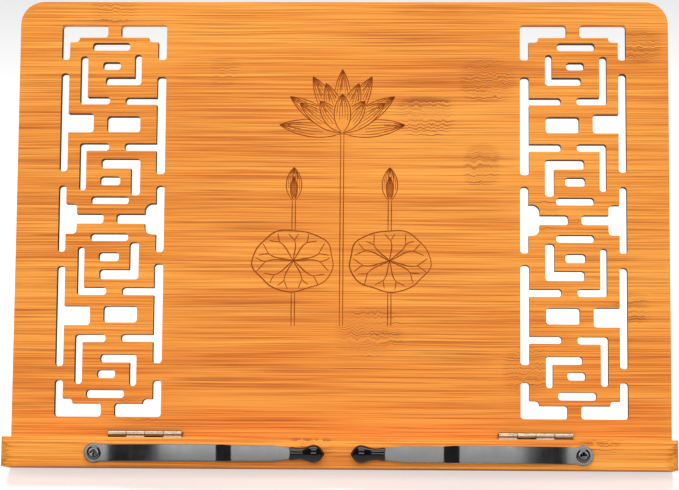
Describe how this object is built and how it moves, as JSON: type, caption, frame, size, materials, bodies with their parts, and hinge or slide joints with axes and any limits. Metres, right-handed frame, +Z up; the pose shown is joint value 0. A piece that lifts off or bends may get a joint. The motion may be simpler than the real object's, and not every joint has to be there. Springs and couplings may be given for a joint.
{
  "type": "photo album stand",
  "caption": "Folding bamboo stand for an album or open book: a fretwork board leaning on a hinged leg, with a hinged tray and sprung page clips.",
  "frame": {"origin": "middle of the board's planed bottom edge, on the surface that the stand rests on", "axes": "+X to the reader's right along the tray, +Y away from the reader, +Z up; the board leans back 20 degrees towards +Y"},
  "size_m": [0.34, 0.1597, 0.2302],
  "materials": {
    "bamboo": "satin lacquered laminated bamboo, horizontal grain",
    "nickel": "nickel plated",
    "black_steel": "semi-gloss black",
    "gloss_tip": "gloss black"
  },
  "bodies": {
    "panel": {"main_panel": "bamboo", "tray_hinge_left_panel_leaf": "nickel", "tray_hinge_left_pin": "nickel", "tray_hinge_right_panel_leaf": "nickel", "tray_hinge_right_pin": "nickel", "tray_hinge_panel_screws": "nickel", "leg_hinge_left_panel_leaf": "nickel", "leg_hinge_left_pin": "nickel", "leg_hinge_right_panel_leaf": "nickel", "leg_hinge_right_pin": "nickel", "leg_hinge_panel_screws": "nickel"},
    "tray": {"tray": "bamboo", "tray_hinge_left_tray_leaf": "nickel", "tray_hinge_right_tray_leaf": "nickel", "tray_hinge_tray_screws": "nickel", "left_clip_screw": "black_steel", "left_clip_washer": "black_steel", "right_clip_screw": "black_steel", "right_clip_washer": "black_steel"},
    "left_clip": {"left_clip_arm": "black_steel", "left_clip_tip": "gloss_tip"},
    "right_clip": {"right_clip_arm": "black_steel", "right_clip_tip": "gloss_tip"},
    "leg": {"rear_leg": "bamboo", "leg_hinge_left_leg_leaf": "nickel", "leg_hinge_right_leg_leaf": "nickel", "leg_hinge_leg_screws": "nickel"}
  },
  "joints": [
    {"name": "tray_fold", "type": "hinge", "parent": "panel", "child": "tray", "pos_m": [0, 0.00128, 0.01741], "axis": [-1, 0, 0], "range_deg": [0, 90]},
    {"name": "left_clip_swing", "type": "hinge", "parent": "tray", "child": "left_clip", "pos_m": [-0.122, -0.03349, 0.01836], "axis": [0, 0.9397, -0.342], "range_deg": [-180, 0]},
    {"name": "right_clip_swing", "type": "hinge", "parent": "tray", "child": "right_clip", "pos_m": [0.122, -0.03349, 0.01836], "axis": [0, -0.9397, 0.342], "range_deg": [-180, 0]},
    {"name": "leg_fold", "type": "hinge", "parent": "panel", "child": "leg", "pos_m": [0, 0.06398, 0.16188], "axis": [-1, 0, 0], "range_deg": [0, 35]}
  ]
}
